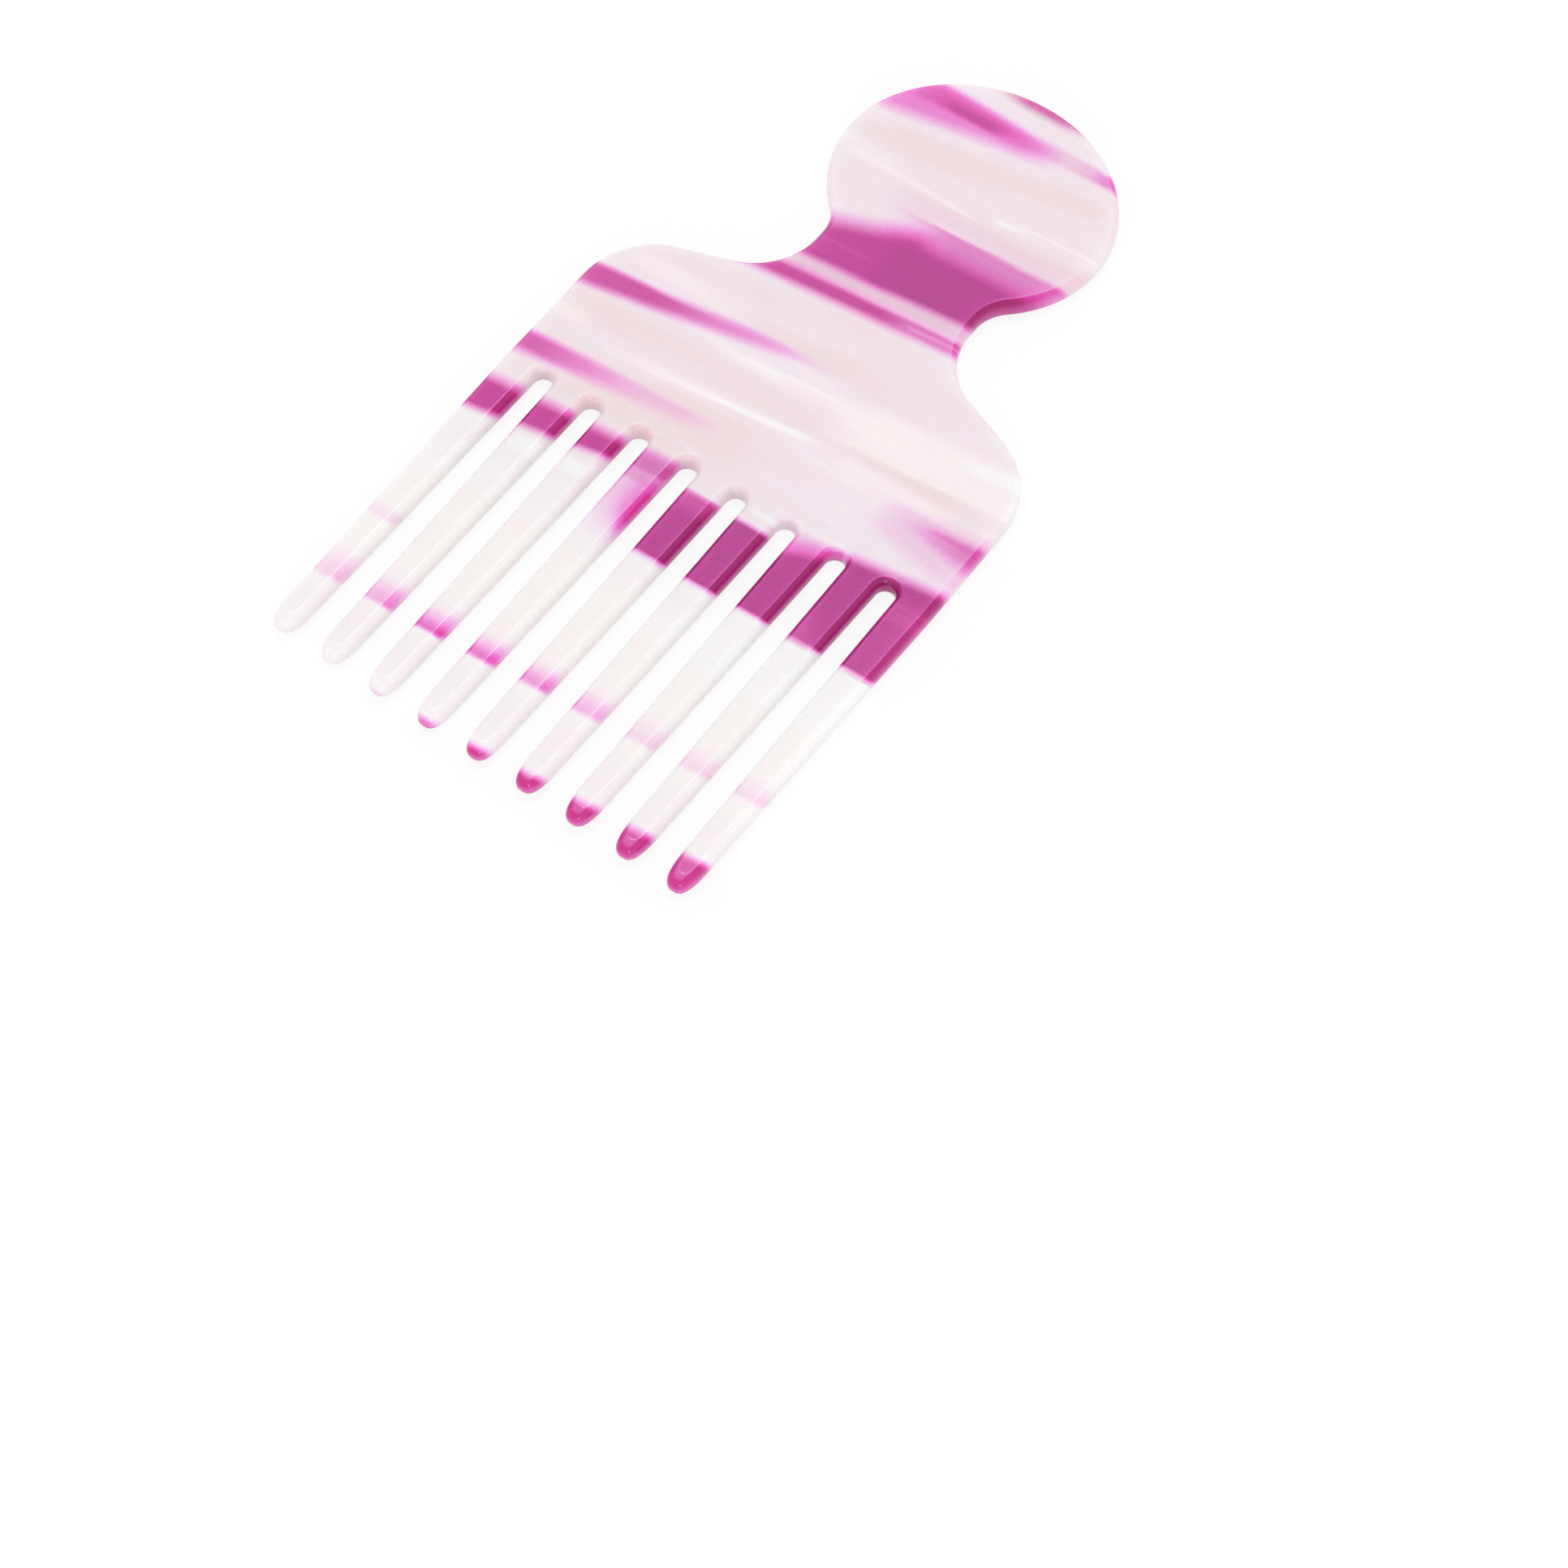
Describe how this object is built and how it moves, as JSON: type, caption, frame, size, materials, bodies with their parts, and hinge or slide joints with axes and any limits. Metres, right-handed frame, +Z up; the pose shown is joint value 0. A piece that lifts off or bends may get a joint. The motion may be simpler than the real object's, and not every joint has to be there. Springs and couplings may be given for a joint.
{
  "type": "hair comb",
  "caption": "Flat wide-tooth hair pick cut from marbled acetate sheet, with a round grip head, a pinched neck, a rounded shoulder plate and straight bullet-tipped teeth.",
  "frame": {"origin": "on the surface that the comb lies on, under the middle of its length and width", "axes": "+X across the teeth, +Y along the comb from the tips towards the grip head, +Z up through the sheet"},
  "size_m": [0.078, 0.1438, 0.0038],
  "materials": {
    "marbled_acetate": "polished marbled acetate, pearly white with magenta streaks"
  },
  "bodies": {
    "root": {"grip_head": "marbled_acetate", "shoulder": "marbled_acetate", "comb_back": "marbled_acetate", "tooth_1": "marbled_acetate", "tooth_2": "marbled_acetate", "tooth_3": "marbled_acetate", "tooth_4": "marbled_acetate", "tooth_5": "marbled_acetate", "tooth_6": "marbled_acetate", "tooth_7": "marbled_acetate", "tooth_8": "marbled_acetate", "tooth_9": "marbled_acetate"}
  },
  "joints": []
}
